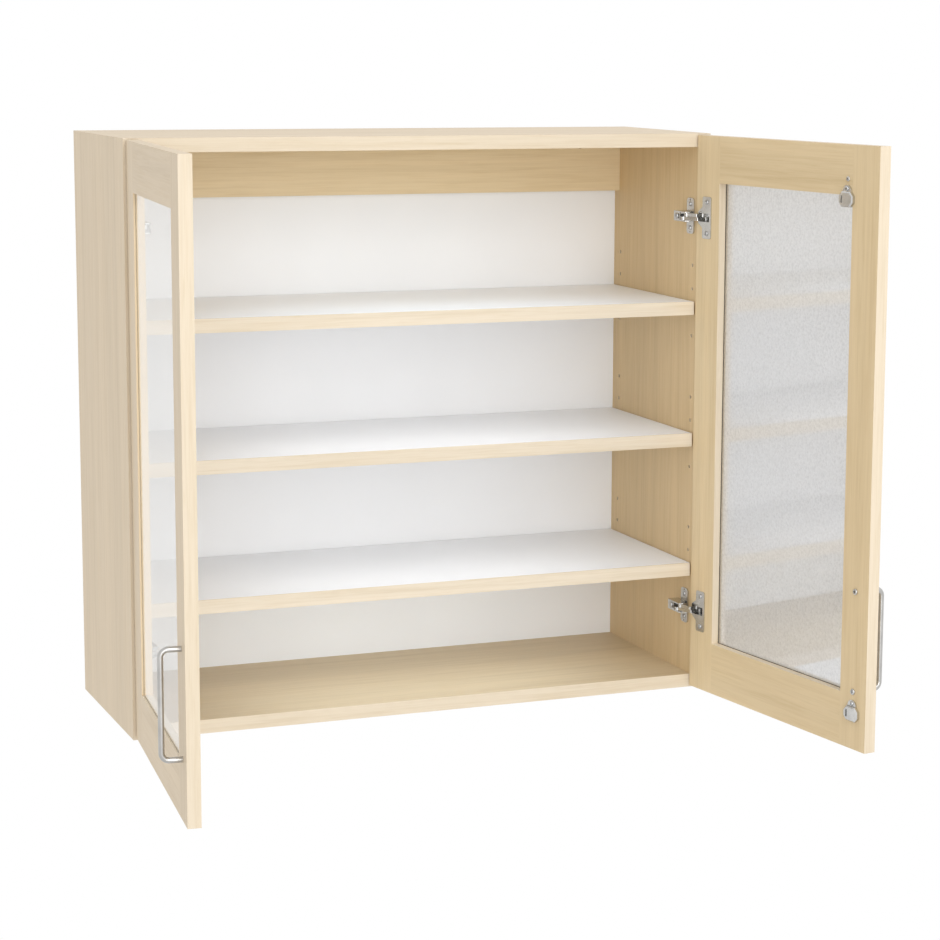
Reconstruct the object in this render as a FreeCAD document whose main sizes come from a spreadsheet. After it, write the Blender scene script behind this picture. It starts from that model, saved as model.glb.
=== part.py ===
import FreeCAD, Part
import math
import os
import re

import Sketcher

from FreeCAD import Placement, Rotation, Vector

# Driving dimensions: millimetres, and degrees where the name says so
DRIVING = {
    # Carcass
    "carcass_width": 800,
    "carcass_height": 760,
    "carcass_depth": 280,
    "board": 18,
    "back_thickness": 8,
    "back_rebate": 9,
    "rail_height": 72,
    "rail_thickness": 16,
    "dowel_radius": 4,
    "dowel_length": 30,
    "dowel_in_side": 11,
    "dowel_inset": 50,
    "dowel_end_room": 0.5,
    # Wall fixing
    "screw_drop": 27,
    "screw_spacing": 640,
    "screw_hole_radius": 3,
    # Shelves
    "lower_shelf_top": 174,
    "shelf_spacing": 180,
    "shelf_end_gap": 1.5,
    "shelf_back_gap": 1,
    "shelf_setback": 2,
    "edge_band": 2,
    "pin_radius": 2.5,
    "pin_hole_depth": 11,
    "pin_reach": 8,
    "pin_collar_radius": 3.6,
    "pin_collar": 1,
    "pin_fit": 0.1,
    "pin_end_room": 0.5,
    "pin_front_inset": 12,
    "pin_back_inset": 30,
    "hole_spacing": 32,
    # Doors
    "door_gap": 3,
    "door_side_margin": 1.5,
    "door_middle_gap": 3,
    "door_bottom_margin": 3,
    "door_top_margin": 2,
    "door_thickness": 16,
    "stile_width": 53,
    "top_rail_width": 62,
    "bottom_rail_width": 69,
    "groove_depth": 8,
    "groove_end_room": 0.5,
    "glass_setback": 10.8,
    "glass_thickness": 3,
    "gasket_thickness": 0.5,
    "gasket_sight": 0.7,
    "left_open_degrees": 95.4,
    "right_open_degrees": 97.7,
    # Handles
    "handle_spacing": 128,
    "handle_low_screw": 74,
    "handle_edge": 26,
    "handle_projection": 24,
    "handle_rod_radius": 3.5,
    "handle_bend_radius": 9,
    "handle_screw_radius": 2,
    "handle_screw_grip": 9,
    "handle_head_radius": 4,
    "handle_head": 2.4,
    # Hinges: places in the plan of one hinge, from the outer side and the front edge
    "hinge_inset": 109,
    "arm_pin_in": 32,
    "arm_pin_back": 3.6,
    "inner_pin_in": 34,
    "inner_pin_back": 10,
    "cup_pin_edge": 9.6,
    "cup_pin_depth": 3,
    "inner_cup_pin_edge": 10,
    "inner_cup_pin_depth": 8,
    "outer_knee_in": 20,
    "outer_knee_front": 11.5,
    "inner_knee_in": 25,
    "inner_knee_front": 13,
    "inner_eye_in": 35.07,
    "inner_eye_back": 11,
    "outer_link_turn": -0.215,
    "inner_link_turn": -0.0115,
    "link_half_thickness": 1.5,
    "link_layer": 4.4,
    "link_layer_gap": 0.6,
    "link_eye_radius": 3,
    "cup_eye_radius": 2.4,
    "hinge_pin_radius": 1.3,
    "hinge_pin_clearance": 0.05,
    "open_pin_radius": 0.8,
    "open_eye_hole_radius": 2.6,
    "open_eye_radius": 3.6,
    "plate_thickness": 2,
    "plate_width": 21,
    "plate_height": 48,
    "plate_setback": 17.5,
    "plate_screw_spacing": 32,
    "plate_corner_radius": 5,
    "plate_peg_hole_radius": 1.2,
    "plate_peg_offset": 5.5,
    "block_height": 7,
    "block_half_width": 4.6,
    "arm_lift": 18.5,
    "arm_length": 36,
    "arm_wall": 1.5,
    "arm_half_height": 6.6,
    "arm_web_front": 15.5,
    "arm_heel": 9,
    "arm_heel_front": 8,
    "arm_heel_slope": 5,
    "arm_nose_radius": 2.5,
    "arm_screw_radius": 2.5,
    "arm_screw_back": 25,
    "arm_screw_head_radius": 4,
    "arm_screw_head": 1.6,
    "arm_slot_back": 18.3,
    "arm_slot_width": 3,
    "arm_slot_height": 7,
    "housing_edge": 5.9,
    "housing_length": 25.8,
    "housing_half_height": 6.5,
    "housing_corner_radius": 2,
    "cup_wall": 0.9,
    "cup_depth": 13.3,
    "cup_fit": 0.1,
    "flange_thickness": 1.2,
    "flange_rim": 1.1,
    "flange_edge": 15,
    "flange_width": 20,
    "flange_height": 56,
    "flange_corner_radius": 3,
    "flare_root_half": 14,
    "cup_screw_spacing": 42,
    # Wood screws and catches
    "wood_screw_radius": 1.7,
    "wood_screw_fit": 0.05,
    "wood_screw_grip": 11,
    "wood_screw_head_radius": 3.2,
    "wood_screw_head": 1.6,
    "top_catch_inset": 9.5,
    "top_catch_drop": 67,
    "left_top_catch_drop": 45,
    "top_screw_rise": 25,
    "bottom_catch_edge": 26,
    "left_bottom_catch_inset": 17,
    "bottom_catch_rise": 46,
    "catch_width": 28,
    "catch_height": 19,
    "catch_thickness": 5,
    "catch_corner_cut": 5.5,
    "catch_chamfer": 1.5,
    "catch_tab_radius": 8.5,
    "catch_tab_rise": 9,
    "catch_tab_thickness": 2,
    "catch_screw_rise": 13.2,
    "catch_screw_grip": 7,
    "catch_slot_width": 2.5,
    "catch_slot_height": 9,
    "catch_slot_offset": 7,
    "catch_slot_depth": 3,
}

LEFT = -1
RIGHT = 1
SIDES = {"left": LEFT, "right": RIGHT}
SHELVES = {"lower": 0, "middle": 1, "upper": 2}
HOLE_STEPS = (-1, 0, 1, 2)
UP = Vector(0, 0, 1)
ALONG = {"x": Vector(1, 0, 0), "y": Vector(0, 1, 0), "z": UP}
TOLERANCE = 1e-3
START_INDEX = 1
END_INDEX = 2
CENTRE_INDEX = 3
TURN_TO = {
    "x": Rotation(Vector(0, 1, 0), 90),
    "y": Rotation(Vector(1, 0, 0), -90),
    "z": Rotation(),
}

doc = FreeCAD.newDocument("glass_door_wall_cabinet")
sheet = doc.addObject("Spreadsheet::Sheet", "Dims")
for row, (alias, value) in enumerate(DRIVING.items(), start=1):
    sheet.set(f"A{row}", alias)
    sheet.set(f"B{row}", str(value))
    sheet.setAlias(f"B{row}", alias)
doc.recompute()

nodes = {}


def bound(text):
    """Expression for the sheet: every driving dimension in the text gets the sheet's name."""
    return re.sub(r"[a-z_]+", lambda word: f"Dims.{word[0]}" if word[0] in DRIVING else word[0], text)


def number(text):
    """Number that an expression in driving dimensions has now, for what is placed by its turn."""
    return float(sheet.evalExpression(bound(text)))


def bind(obj, **sizes):
    for name, text in sizes.items():
        obj.setExpression(name, bound(text))


def move_to(obj, place):
    for axis, text in zip("xyz", place):
        obj.setExpression(f"Placement.Base.{axis}", bound(text))


def slab(name, start, length, hand=RIGHT):
    """Box from three start expressions and three lengths; hand -1 mirrors it across x = 0."""
    obj = doc.addObject("Part::Box", name)
    bind(obj, Length=length[0], Width=length[1], Height=length[2])
    first = start[0] if hand == RIGHT else f"-({start[0]}) - ({length[0]})"
    move_to(obj, (first, start[1], start[2]))
    return obj


def rod(name, radius, length, start, axis, hand=RIGHT):
    """Cylinder that runs from start along +axis, mirrored across x = 0 for hand -1."""
    obj = doc.addObject("Part::Cylinder", name)
    bind(obj, Radius=radius, Height=length)
    obj.Placement = Placement(Vector(), TURN_TO[axis])
    first = start[0]
    if hand == LEFT:
        first = f"-({start[0]}) - ({length})" if axis == "x" else f"-({start[0]})"
    move_to(obj, (first, start[1], start[2]))
    return obj


def joined(name, shapes):
    obj = doc.addObject("Part::MultiFuse", name)
    obj.Shapes = shapes
    obj.Refine = True
    return obj


def group(name, shapes):
    obj = doc.addObject("Part::Compound", name)
    obj.Links = shapes
    return obj


def cut(name, base, tools):
    """Base with every tool taken away; the tools may overlap each other."""
    obj = doc.addObject("Part::Cut", name)
    obj.Base = base
    obj.Tool = joined(f"{name}_tools", tools) if len(tools) > 1 else tools[0]
    return obj


def straight_edges(shape, axis):
    """Numbers of the straight edges of a shape that run along one axis."""
    picked = []
    for index, edge in enumerate(shape.Edges, start=1):
        if edge.Curve.TypeId == "Part::GeomLine":
            if edge.tangentAt(edge.FirstParameter).cross(ALONG[axis]).Length < TOLERANCE:
                picked.append(index)
    return picked


def rounded(base, radius, axis):
    """Base with its straight edges along one axis rounded."""
    doc.recompute()
    obj = doc.addObject("Part::Fillet", f"{base.Name}_rounded")
    obj.Base = base
    obj.Edges = [(index, number(radius), number(radius)) for index in straight_edges(base.Shape, axis)]
    return obj


def mirrored(points, hand):
    """Points of an outline for one hand, with the first of each pair mirrored for the left."""
    return [(f"{hand} * ({across})", rise) for across, rise in points]


def sketch_on(body, name, plane, lift="0"):
    """Empty sketch on one of the body's own planes, lifted off it along the plane's normal."""
    sketch = body.newObject("Sketcher::SketchObject", name)
    support = [item for item in body.Origin.OriginFeatures if item.Role == plane][0]
    sketch.AttachmentSupport = [(support, "")]
    sketch.MapMode = "FlatFace"
    sketch.setExpression("AttachmentOffset.Base.z", bound(lift))
    return sketch


def hold(sketch, kind, geometry, end, text):
    """Dimension from the sketch's origin to one end of a line or arc, or to a circle's centre."""
    rule = sketch.addConstraint(Sketcher.Constraint(kind, -1, 1, geometry, end, number(text)))
    sketch.setExpression(f"Constraints[{rule}]", bound(text))


def hold_radius(sketch, geometry, text):
    rule = sketch.addConstraint(Sketcher.Constraint("Radius", geometry, number(text)))
    sketch.setExpression(f"Constraints[{rule}]", bound(text))


def outline(body, name, points, lift="0", plane="XZ_Plane"):
    """Closed sketch through points, on the plane y = 0 or lifted off it towards -y, or on another plane."""
    sketch = sketch_on(body, name, plane, lift)
    corners = [Vector(number(across), number(rise), 0) for across, rise in points]
    for start, end in zip(corners, corners[1:] + corners[:1]):
        sketch.addGeometry(Part.LineSegment(start, end), False)
    for index, (across, rise) in enumerate(points):
        following = (index + 1) % len(points)
        sketch.addConstraint(Sketcher.Constraint("Coincident", index, END_INDEX, following, START_INDEX))
        hold(sketch, "DistanceX", index, START_INDEX, across)
        hold(sketch, "DistanceY", index, START_INDEX, rise)
    return sketch


def padded(body, sketch, length, backwards=False, both_ways=False):
    """Pad along the sketch's normal, against it, or half each way."""
    pad = body.newObject("PartDesign::Pad", f"{sketch.Name}_pad")
    pad.Profile = sketch
    pad.Reversed = backwards
    pad.Midplane = both_ways
    bind(pad, Length=length)
    doc.recompute()
    return pad


def pocketed(body, sketch, depth, both_ways=False):
    """Pocket against the sketch's normal, or half each way."""
    before = body.Shape.Volume
    pocket = body.newObject("PartDesign::Pocket", f"{sketch.Name}_pocket")
    pocket.Profile = sketch
    pocket.Midplane = both_ways
    bind(pocket, Length=depth)
    doc.recompute()
    if body.Shape.Volume >= before:
        raise RuntimeError(f"{pocket.Name} cuts nothing")
    return pocket


def dressed(body, kind, base, edges, **sizes):
    """Fillet or chamfer on numbered edges of one feature of the body."""
    dress = body.newObject(f"PartDesign::{kind}", f"{base.Name}_{kind.lower()}")
    dress.Base = (base, [f"Edge{index}" for index in edges])
    bind(dress, **sizes)
    doc.recompute()
    return dress


def node(name, obj, place=None):
    """Register a finished sub-part under its name and put it in its place."""
    obj.Label = name
    if place is not None:
        obj.Placement = place
    nodes[name] = obj


# Levels and lengths that several pieces share
BOTTOM = "screw_drop - carcass_height"
FRONT = "-carcass_depth"
INSIDE_WIDTH = "carcass_width - 2 * board"
INSIDE_HEIGHT = "carcass_height - 2 * board"
DOOR_WIDTH = "(carcass_width - door_middle_gap) / 2 - door_side_margin"
DOOR_HEIGHT = "carcass_height - door_bottom_margin - door_top_margin"
GROOVE_START = "glass_setback - gasket_thickness"
GROOVE_WIDTH = "glass_thickness + gasket_thickness"


def shelf_top(step):
    return f"{BOTTOM} + lower_shelf_top + {step} * shelf_spacing"


def pin_rows():
    """Depth of the front and the back row of shelf pin holes."""
    return (f"{FRONT} + pin_front_inset", "-pin_back_inset")


def pin_level(step):
    """Height of the pins of one shelf, which lie in grooves of its underside."""
    return f"{shelf_top(step)} - board + pin_radius"


def dowel_depths():
    return (f"{FRONT} + dowel_inset", "-dowel_inset")


def dowel_levels():
    """Mid height of the bottom panel and of the top panel."""
    return (f"{BOTTOM} + board / 2", "screw_drop - board / 2")


def hinge_levels():
    """Heights of the lower and the upper hinge of a door."""
    low = f"{BOTTOM} + door_bottom_margin + hinge_inset"
    high = "screw_drop - door_top_margin - hinge_inset"
    return {"lower": low, "upper": high}


def hinge_level_values():
    return {which: number(level) for which, level in hinge_levels().items()}


# Carcass
def side_panel(side, hand):
    name = f"{side}_side_panel"
    inner = "carcass_width / 2 - board"
    board = slab(f"{name}_board", (inner, FRONT, BOTTOM), ("board", "carcass_depth", "carcass_height"), hand)
    rebate = slab(
        f"{name}_rebate",
        (inner, "-back_thickness", f"{BOTTOM} + board - back_rebate"),
        ("back_rebate", "back_thickness", f"{INSIDE_HEIGHT} + 2 * back_rebate"),
        hand,
    )
    tools = [rebate]
    for step in SHELVES.values():
        for row, depth in enumerate(pin_rows()):
            for hole in HOLE_STEPS:
                level = f"{pin_level(step)} + {hole} * hole_spacing"
                place = (inner, depth, level)
                label = f"{name}_pin_hole_{step}_{row}_{hole + 1}"
                tools.append(rod(label, "pin_radius", "pin_hole_depth", place, "x", hand))
    for level_index, level in enumerate(dowel_levels()):
        for depth_index, depth in enumerate(dowel_depths()):
            label = f"{name}_dowel_hole_{level_index}_{depth_index}"
            length = "dowel_in_side + dowel_end_room"
            tools.append(rod(label, "dowel_radius", length, (inner, depth, level), "x", hand))
    for which, level in hinge_levels().items():
        for sign in (-1, 1):
            place = (inner, f"{FRONT} + plate_setback", f"{level} + {sign} * plate_screw_spacing / 2")
            label = f"{name}_screw_hole_{which}_{sign + 1}"
            radius = "wood_screw_radius + wood_screw_fit"
            tools.append(rod(label, radius, "wood_screw_grip + wood_screw_fit", place, "x", hand))
    node(name, cut(name, board, tools))


def cross_panel(name, level, rebate_level, dowel_level):
    """Top or bottom panel between the sides, rebated for the back and drilled for the dowels."""
    start = f"-({INSIDE_WIDTH}) / 2"
    board = slab(f"{name}_board", (start, FRONT, level), (INSIDE_WIDTH, "carcass_depth", "board"))
    rebate_size = (INSIDE_WIDTH, "back_thickness", "back_rebate")
    tools = [slab(f"{name}_rebate", (start, "-back_thickness", rebate_level), rebate_size)]
    length = "dowel_length - dowel_in_side + dowel_end_room"
    for side, hand in SIDES.items():
        for index, depth in enumerate(dowel_depths()):
            place = (f"({INSIDE_WIDTH}) / 2 - ({length})", depth, dowel_level)
            tools.append(rod(f"{name}_dowel_hole_{side}_{index}", "dowel_radius", length, place, "x", hand))
    node(name, cut(name, board, tools))


def dowels():
    pieces = []
    for side, hand in SIDES.items():
        for level_index, level in enumerate(dowel_levels()):
            for depth_index, depth in enumerate(dowel_depths()):
                start = f"({INSIDE_WIDTH}) / 2 + dowel_in_side - dowel_length"
                label = f"dowel_{side}_{level_index}_{depth_index}"
                pieces.append(rod(label, "dowel_radius", "dowel_length", (start, depth, level), "x", hand))
    node("carcass_dowels", group("carcass_dowels", pieces))


def wall_screw_holes(name, start, length):
    holes = []
    for side, hand in SIDES.items():
        place = ("screw_spacing / 2", start, "0")
        holes.append(rod(f"{name}_screw_hole_{side}", "screw_hole_radius", length, place, "y", hand))
    return holes


def back_panel():
    name = "back_panel"
    width = f"{INSIDE_WIDTH} + 2 * back_rebate"
    height = f"{INSIDE_HEIGHT} + 2 * back_rebate"
    place = (f"-({width}) / 2", "-back_thickness", f"{BOTTOM} + board - back_rebate")
    board = slab(f"{name}_board", place, (width, "back_thickness", height))
    node(name, cut(name, board, wall_screw_holes(name, "-back_thickness", "back_thickness")))


def hanging_rail():
    name = "hanging_rail"
    front = "-back_thickness - rail_thickness"
    place = (f"-({INSIDE_WIDTH}) / 2", front, "screw_drop - board - rail_height")
    board = slab(f"{name}_board", place, (INSIDE_WIDTH, "rail_thickness", "rail_height"))
    node(name, cut(name, board, wall_screw_holes(name, front, "rail_thickness")))


def pin_grooves(which, step):
    """Grooves in the underside of a shelf, open at its ends, that rest on the pins."""
    start = f"({INSIDE_WIDTH}) / 2 - pin_reach - pin_end_room"
    length = "pin_reach + pin_end_room - shelf_end_gap"
    radius = "(pin_radius + pin_fit)"
    underside = f"{shelf_top(step)} - board"
    rise = "pin_radius - pin_fit"
    tools = []
    for side, hand in SIDES.items():
        for row, depth in enumerate(pin_rows()):
            label = f"{which}_shelf_groove_{side}_{row}"
            centre = (start, depth, f"{underside} + {rise}")
            tools.append(rod(f"{label}_top", radius, length, centre, "x", hand))
            corner = (start, f"{depth} - {radius}", underside)
            tools.append(slab(f"{label}_mouth", corner, (length, f"2 * {radius}", rise), hand))
    return tools


def shelf(which, step):
    width = f"{INSIDE_WIDTH} - 2 * shelf_end_gap"
    front = f"{FRONT} + shelf_setback"
    depth = "carcass_depth - shelf_setback - edge_band - back_thickness - shelf_back_gap"
    level = f"{shelf_top(step)} - board"
    start = f"-({width}) / 2"
    board = slab(f"{which}_shelf_board", (start, f"{front} + edge_band", level), (width, depth, "board"))
    edge = slab(f"{which}_shelf_edge", (start, front, level), (width, "edge_band", "board"))
    node(f"{which}_shelf", cut(f"{which}_shelf", board, pin_grooves(which, step)))
    node(f"{which}_shelf_edge", edge)


def shelf_pins():
    pieces = []
    inner = "carcass_width / 2 - board"
    for side, hand in SIDES.items():
        for step in SHELVES.values():
            for row, depth in enumerate(pin_rows()):
                level = pin_level(step)
                label = f"shelf_pin_{side}_{step}_{row}"
                start = f"{inner} - pin_reach"
                length = "pin_reach + pin_hole_depth"
                shank = rod(f"{label}_shank", "pin_radius", length, (start, depth, level), "x", hand)
                collar_place = (f"{inner} - pin_collar", depth, level)
                collar = rod(f"{label}_collar", "pin_collar_radius", "pin_collar", collar_place, "x", hand)
                pieces.append(joined(label, [shank, collar]))
    node("shelf_pins", group("shelf_pins", pieces))


# Hinge motion in plan, measured inwards from the outer side and forwards from the front edge
def in_plan(inwards, forwards, hand):
    return Vector(hand * number(inwards), number(forwards), 0)


def outer_link_motion(hand, opening):
    centre = in_plan("arm_pin_in", "-arm_pin_back", hand)
    return Placement(Vector(), Rotation(UP, hand * number("outer_link_turn") * opening), centre)


def door_motion(hand, opening):
    """Place of the door's own frame: x from the hinge edge, y from the inner to the outer face."""
    edge_pin = in_plan("cup_pin_edge", "cup_pin_depth", hand)
    closed_edge = in_plan("door_side_margin", "door_gap", hand)
    pin = outer_link_motion(hand, opening).multVec(closed_edge + edge_pin)
    spin = Rotation(UP, hand * opening)
    return Placement(pin - spin.multVec(edge_pin), spin)


def inner_link_motion(hand, opening):
    door_pin = in_plan("inner_cup_pin_edge", "inner_cup_pin_depth", hand)
    closed_pin = in_plan("door_side_margin", "door_gap", hand) + door_pin
    spin = Rotation(UP, hand * number("inner_link_turn") * opening)
    return Placement(door_motion(hand, opening).multVec(door_pin) - spin.multVec(closed_pin), spin)


def hinge_frame(hand, level):
    corner = Vector(hand * number("carcass_width / 2"), number(FRONT), level)
    return Placement(corner, Rotation(UP, 180))


def opening_of(side):
    return number(f"{side}_open_degrees")


def door_place(side, hand):
    bottom = number(f"{BOTTOM} + door_bottom_margin")
    return hinge_frame(hand, bottom).multiply(door_motion(hand, opening_of(side)))


# Hinge pieces on the carcass
def mounting_plate(name, hand, place):
    back = "-plate_setback - plate_width / 2"
    wing_size = ("plate_thickness", "plate_width", "plate_height")
    wing = slab(f"{name}_wing", ("board", back, "-plate_height / 2"), wing_size, hand)
    block_size = ("block_height", "arm_length - arm_heel_front", "2 * block_half_width")
    block = slab(f"{name}_block", ("board", "-arm_length", "-block_half_width"), block_size, hand)
    body = joined(f"{name}_body", [rounded(wing, "plate_corner_radius", "x"), block])
    holes = []
    for sign in (-1, 1):
        spot = ("board", "-plate_setback", f"{sign} * plate_screw_spacing / 2")
        radius = "wood_screw_radius + wood_screw_fit"
        holes.append(rod(f"{name}_hole_{sign + 1}", radius, "plate_thickness", spot, "x", hand))
        spot = ("board", "-plate_setback", f"{sign} * (plate_screw_spacing / 2 + plate_peg_offset)")
        label = f"{name}_peg_hole_{sign + 1}"
        holes.append(rod(label, "plate_peg_hole_radius", "plate_thickness", spot, "x", hand))
    spot = ("board", "-arm_screw_back", "0")
    holes.append(rod(f"{name}_arm_screw_hole", "arm_screw_radius", "block_height", spot, "x", hand))
    node(name, cut(name, body, holes), place)


def hinge_arm(name, hand, place):
    """Pressed channel over the plate's block; its two cheeks carry one pin for each link."""
    foot = "board + plate_thickness"
    top = "board + arm_lift"
    web = f"{top} - arm_wall"
    nose = "board + arm_heel"
    side = [
        (foot, "-arm_length"),
        (top, "-arm_length"),
        (top, "0"),
        (nose, "0"),
        (nose, "-arm_heel_front"),
        (foot, "-arm_heel_front - arm_heel_slope"),
    ]
    room = [
        (foot, "-arm_length"),
        (web, "-arm_length"),
        (web, "-arm_web_front"),
        (top, "-arm_web_front"),
        (top, "0"),
        (foot, "0"),
    ]
    body = doc.addObject("PartDesign::Body", f"{name}_body")
    cheeks = outline(body, f"{name}_side", mirrored(side, hand), plane="XY_Plane")
    channel = padded(body, cheeks, "2 * arm_half_height", both_ways=True)
    dressed(body, "Fillet", channel, straight_edges(channel.Shape, "z"), Radius="arm_nose_radius")
    hollow = outline(body, f"{name}_room", mirrored(room, hand), plane="XY_Plane")
    pocketed(body, hollow, "2 * (arm_half_height - arm_wall)", both_ways=True)
    slot = slab(
        f"{name}_slot",
        (web, "-arm_slot_back - arm_slot_width / 2", "-arm_slot_height / 2"),
        ("arm_wall", "arm_slot_width", "arm_slot_height"),
        hand,
    )
    screw_place = (web, "-arm_screw_back", "0")
    screw_hole = rod(f"{name}_screw_hole", "arm_screw_radius", "arm_wall", screw_place, "x", hand)
    pressed = cut(f"{name}_pressed", body, [slot, screw_hole])
    outer_place = ("arm_pin_in", "-arm_pin_back", "0")
    inner_place = ("inner_pin_in", "-inner_pin_back", "-arm_half_height")
    outer_pin = rod(f"{name}_outer_pin", "hinge_pin_radius", "arm_half_height", outer_place, "z", hand)
    inner_pin = rod(f"{name}_inner_pin", "open_pin_radius", "arm_half_height", inner_place, "z", hand)
    node(name, joined(name, [pressed, outer_pin, inner_pin]), place)


def link(name, hand, place, points, eyes, holes, layer):
    """Bent link: round eyes at both ends, bars between the points, a hole in each eye."""
    parts = []
    for index, (point, radius) in enumerate(zip(points, (eyes[0], "link_half_thickness", eyes[1]))):
        parts.append(rod(f"{name}_round_{index}", radius, "link_layer", (*point, layer), "z", hand))
    for index, (first, second) in enumerate(zip(points, points[1:])):
        inwards = f"({second[0]} - ({first[0]}))"
        forwards = f"({second[1]} - ({first[1]}))"
        bar = doc.addObject("Part::Box", f"{name}_bar_{index}")
        bind(bar, Length=f"sqrt({inwards}^2 + {forwards}^2)")
        bind(bar, Width="2 * link_half_thickness", Height="link_layer")
        turn = Rotation(UP, math.degrees(math.atan2(number(forwards), hand * number(inwards))))
        corner = in_plan(*first, hand) - turn.multVec(ALONG["y"]) * number("link_half_thickness")
        bar.Placement = Placement(corner, turn)
        bar.setExpression("Placement.Base.z", bound(layer))
        parts.append(bar)
    tools = []
    for label, point, radius in (("arm", points[0], holes[0]), ("cup", points[-1], holes[1])):
        tools.append(rod(f"{name}_{label}_hole", radius, "link_layer", (*point, layer), "z", hand))
    node(name, cut(name, joined(f"{name}_body", parts), tools), place)


def outer_link(name, hand, place):
    points = [
        ("arm_pin_in", "-arm_pin_back"),
        ("outer_knee_in", "outer_knee_front"),
        ("door_side_margin + cup_pin_edge", "door_gap + cup_pin_depth"),
    ]
    hole = "hinge_pin_radius + hinge_pin_clearance"
    link(name, hand, place, points, ("link_eye_radius", "cup_eye_radius"), (hole, hole), "link_layer_gap / 2")


def inner_link(name, hand, place):
    """Second link: runs on its cup pin, with play round the arm's pin where the loop is open."""
    points = [
        ("inner_eye_in", "-inner_eye_back"),
        ("inner_knee_in", "inner_knee_front"),
        ("door_side_margin + inner_cup_pin_edge", "door_gap + inner_cup_pin_depth"),
    ]
    holes = ("open_eye_hole_radius", "hinge_pin_radius + hinge_pin_clearance")
    layer = "-link_layer_gap / 2 - link_layer"
    link(name, hand, place, points, ("open_eye_radius", "cup_eye_radius"), holes, layer)


def screw(name, start, axis_hand, radius, head_radius, head, grip, axis="y", hand=RIGHT):
    """Plain screw: head from the start outwards, shank the other way; axis_hand is the shank's sign."""
    place = list(start)
    index = "xyz".index(axis)
    shank_start = list(place)
    head_start = list(place)
    if axis_hand > 0:
        head_start[index] = f"{place[index]} - ({head})"
    else:
        shank_start[index] = f"{place[index]} - ({grip})"
    shank = rod(f"{name}_shank", radius, grip, shank_start, axis, hand)
    cap = rod(f"{name}_head", head_radius, head, head_start, axis, hand)
    return joined(name, [shank, cap])


def hinge_screws():
    """Two wood screws in every mounting plate and one machine screw in every arm."""
    pieces = []
    for side, hand in SIDES.items():
        for which, level in hinge_level_values().items():
            frame = hinge_frame(hand, level)
            for sign in (-1, 1):
                start = ("board + plate_thickness", "-plate_setback", f"{sign} * plate_screw_spacing / 2")
                sizes = ("wood_screw_radius", "wood_screw_head_radius", "wood_screw_head")
                grip = "wood_screw_grip + plate_thickness"
                piece = screw(f"plate_screw_{side}_{which}_{sign + 1}", start, -1, *sizes, grip, "x", hand)
                piece.Placement = frame
                pieces.append(piece)
            start = ("board + arm_lift", "-arm_screw_back", "0")
            sizes = ("arm_screw_radius", "arm_screw_head_radius", "arm_screw_head")
            piece = screw(f"arm_screw_{side}_{which}", start, -1, *sizes, "arm_lift", "x", hand)
            piece.Placement = frame
            pieces.append(piece)
    node("hinge_screws", group("hinge_screws", pieces))


# Door pieces, each in the door's own frame
def hinge_heights():
    """Heights of the two hinges above the door's bottom edge."""
    return {"lower": "hinge_inset", "upper": f"{DOOR_HEIGHT} - hinge_inset"}


def handle_heights():
    return ("handle_low_screw", "handle_low_screw + handle_spacing")


HANDLE_ALONG = f"{DOOR_WIDTH} - handle_edge"
CUP_SCREW_ALONG = "flange_edge + flange_width / 2"
TOP_CATCH_ALONG = f"{DOOR_WIDTH} - stile_width - top_catch_inset"
TOP_CATCH = {
    "left": (TOP_CATCH_ALONG, f"{DOOR_HEIGHT} - left_top_catch_drop"),
    "right": (TOP_CATCH_ALONG, f"{DOOR_HEIGHT} - top_catch_drop"),
}
BOTTOM_CATCH = {
    "left": (f"{DOOR_WIDTH} - stile_width - left_bottom_catch_inset", "bottom_catch_rise"),
    "right": (f"{DOOR_WIDTH} - bottom_catch_edge", "bottom_catch_rise"),
}


def catch_screw_hole(name, spot, hand):
    """Hole in the wood behind the tab of a catch."""
    radius = "wood_screw_radius + wood_screw_fit"
    start = (spot[0], "0", f"{spot[1]} + catch_screw_rise")
    return rod(f"{name}_catch_hole", radius, "catch_screw_grip + wood_screw_fit", start, "y", hand)


def hinge_stile(side, hand, place):
    name = f"{side}_hinge_stile"
    board = slab(f"{name}_board", ("0", "0", "0"), ("stile_width", "door_thickness", DOOR_HEIGHT), hand)
    groove = slab(f"{name}_groove", ("stile_width - groove_depth", GROOVE_START, "0"),
                  ("groove_depth", GROOVE_WIDTH, DOOR_HEIGHT), hand)
    tools = [groove]
    for which, height in hinge_heights().items():
        mortise_half = "housing_half_height + cup_fit"
        mortise = slab(
            f"{name}_mortise_{which}",
            ("housing_edge - cup_fit", "0", f"{height} - ({mortise_half})"),
            ("housing_length + 2 * cup_fit", "cup_depth + cup_fit", f"2 * ({mortise_half})"),
            hand,
        )
        tools.append(rounded(mortise, "housing_corner_radius + cup_fit", "y"))
        for sign in (-1, 1):
            spot = (CUP_SCREW_ALONG, "0", f"{height} + {sign} * cup_screw_spacing / 2")
            radius = "wood_screw_radius + wood_screw_fit"
            label = f"{name}_screw_hole_{which}_{sign + 1}"
            tools.append(rod(label, radius, "wood_screw_grip + wood_screw_fit", spot, "y", hand))
    node(name, cut(name, board, tools), place)


def handle_stile(side, hand, place):
    name = f"{side}_handle_stile"
    start = f"{DOOR_WIDTH} - stile_width"
    board = slab(f"{name}_board", (start, "0", "0"), ("stile_width", "door_thickness", DOOR_HEIGHT), hand)
    groove_size = ("groove_depth", GROOVE_WIDTH, DOOR_HEIGHT)
    tools = [slab(f"{name}_groove", (start, GROOVE_START, "0"), groove_size, hand)]
    for index, height in enumerate(handle_heights()):
        spot = (HANDLE_ALONG, "0", height)
        radius = "handle_screw_radius + wood_screw_fit"
        tools.append(rod(f"{name}_handle_hole_{index}", radius, "door_thickness", spot, "y", hand))
    if side == "right":
        tools.append(catch_screw_hole(name, BOTTOM_CATCH[side], hand))
    node(name, cut(name, board, tools), place)


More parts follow.
